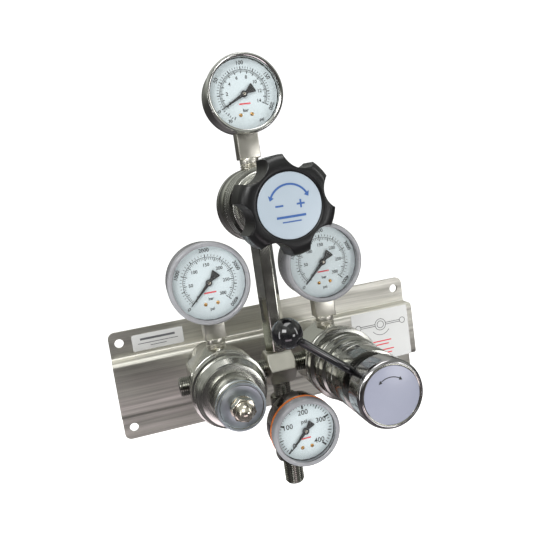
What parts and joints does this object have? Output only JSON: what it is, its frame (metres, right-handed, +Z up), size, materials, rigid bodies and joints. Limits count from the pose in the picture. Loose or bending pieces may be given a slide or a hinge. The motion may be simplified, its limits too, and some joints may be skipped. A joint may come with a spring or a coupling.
{
  "type": "gas changeover manifold",
  "caption": "Wall-bracket gas changeover manifold: side regulators with dial gauges, a selector lever, and a raised delivery regulator with a handwheel.",
  "frame": {"origin": "on the wall, at the bracket's back face, midway between its two upper screw holes", "axes": "+X along the bracket to the right seen from the front, +Y into the wall so that -Y is the front, +Z up"},
  "size_m": [0.2388, 0.1571, 0.2929],
  "materials": {
    "steel_sheet": "brushed sheet steel",
    "plated": "bright nickel-chrome plate on brass",
    "turned_steel": "fine turned, semi-bright",
    "zinc": "bluish zinc plate",
    "brass": "machined",
    "black_plastic": "satin black",
    "black_gloss": "glossy black",
    "spring_steel": "drawn wire",
    "stainless": "rolled stainless",
    "dial_white": "pale blue-white enamel",
    "window": "clear polycarbonate"
  },
  "bodies": {
    "manifold": {"mounting_bracket": "steel_sheet", "left_bolt": "zinc", "right_bolt": "zinc", "left_body": "plated", "left_diaphragm": "stainless", "left_bonnet": "turned_steel", "left_spring_cap": "zinc", "left_range_spring": "spring_steel", "left_spring_button": "brass", "left_set_screw": "brass", "right_body": "plated", "right_diaphragm": "stainless", "right_drum": "turned_steel", "drum_end_cap": "turned_steel", "right_range_spring": "spring_steel", "top_body": "plated", "top_diaphragm": "stainless", "top_bonnet": "turned_steel", "top_range_spring": "spring_steel", "cross_block": "plated", "left_inlet_nipple": "plated", "right_inlet_nipple": "plated", "left_link_nipple": "plated", "right_link_nipple": "plated", "riser_column": "plated", "outlet_tee": "plated", "left_gauge_case": "stainless", "left_gauge_stem": "plated", "left_gauge_bezel": "stainless", "left_gauge_window": "window", "left_gauge_dial": "dial_white", "right_gauge_case": "stainless", "right_gauge_stem": "plated", "right_gauge_bezel": "stainless", "right_gauge_window": "window", "right_gauge_dial": "dial_white", "top_gauge_case": "stainless", "top_gauge_stem": "plated", "top_gauge_bezel": "stainless", "top_gauge_window": "window", "top_gauge_dial": "dial_white", "low_gauge_case": "stainless", "low_gauge_stem": "plated", "low_gauge_bezel": "stainless", "low_gauge_window": "window", "low_gauge_dial": "dial_white"},
    "handwheel": {"handwheel": "black_plastic", "adjusting_screw": "stainless"},
    "top_button": {"top_spring_button": "brass"},
    "selector": {"selector_collar": "black_plastic", "selector_lever": "black_gloss", "selector_ball": "black_gloss"},
    "follower": {"cam_follower": "stainless"},
    "left_needle": {"left_gauge_pointer": "black_plastic"},
    "right_needle": {"right_gauge_pointer": "black_plastic"},
    "top_needle": {"top_gauge_pointer": "black_plastic"},
    "low_needle": {"low_gauge_pointer": "black_plastic"},
    "left_valve": {"left_poppet": "brass"},
    "right_valve": {"right_poppet": "brass"},
    "top_valve": {"top_poppet": "brass"}
  },
  "joints": [
    {"name": "spring_button_slide", "type": "slide", "parent": "manifold", "child": "top_button", "axis": [0, 1, 0], "range_m": [0, 0.00424], "deforming": ["top_range_spring"]},
    {"name": "handwheel_turn", "type": "hinge", "parent": "top_button", "child": "handwheel", "pos_m": [-0.009, -0.1137, 0.08785], "axis": [0, 1, 0], "range_deg": [0, 1440]},
    {"name": "selector_turn", "type": "hinge", "parent": "manifold", "child": "selector", "pos_m": [0.0285, -0.1379, -0.02395], "axis": [0, 1, 0], "range_deg": [0, 100]},
    {"name": "cam_slide", "type": "slide", "parent": "manifold", "child": "follower", "axis": [0, 1, 0], "range_m": [0, 0.002], "deforming": ["right_range_spring"]},
    {"name": "left_needle_turn", "type": "hinge", "parent": "manifold", "child": "left_needle", "pos_m": [-0.0499, -0.0716, 0.04355], "axis": [0, 1, 0], "range_deg": [0, 270], "stiffness_Nm_per_rad": 0.0005},
    {"name": "right_needle_turn", "type": "hinge", "parent": "manifold", "child": "right_needle", "pos_m": [0.0285, -0.0716, 0.04355], "axis": [0, 1, 0], "range_deg": [0, 270], "stiffness_Nm_per_rad": 0.0005},
    {"name": "top_needle_turn", "type": "hinge", "parent": "manifold", "child": "top_needle", "pos_m": [-0.009, -0.0716, 0.15845], "axis": [0, 1, 0], "range_deg": [-20, 250], "stiffness_Nm_per_rad": 0.0005},
    {"name": "low_needle_turn", "type": "hinge", "parent": "manifold", "child": "low_needle", "pos_m": [-0.009, -0.1044, -0.05545], "axis": [0, 1, 0], "range_deg": [0, 270], "stiffness_Nm_per_rad": 0.0005},
    {"name": "left_valve_slide", "type": "slide", "parent": "manifold", "child": "left_valve", "axis": [0, 1, 0], "range_m": [0, 0.0005], "stiffness_N_per_m": 200},
    {"name": "right_valve_slide", "type": "slide", "parent": "manifold", "child": "right_valve", "axis": [0, 1, 0], "range_m": [0, 0.0005], "stiffness_N_per_m": 200},
    {"name": "top_valve_slide", "type": "slide", "parent": "manifold", "child": "top_valve", "axis": [0, 1, 0], "range_m": [0, 0.0005], "stiffness_N_per_m": 200}
  ],
  "couplings": [
    {"joint": "handwheel_turn", "follows": "spring_button_slide", "rad_per_m": 5927.5},
    {"joint": "selector_turn", "follows": "cam_slide", "rad_per_m": 872.66}
  ]
}
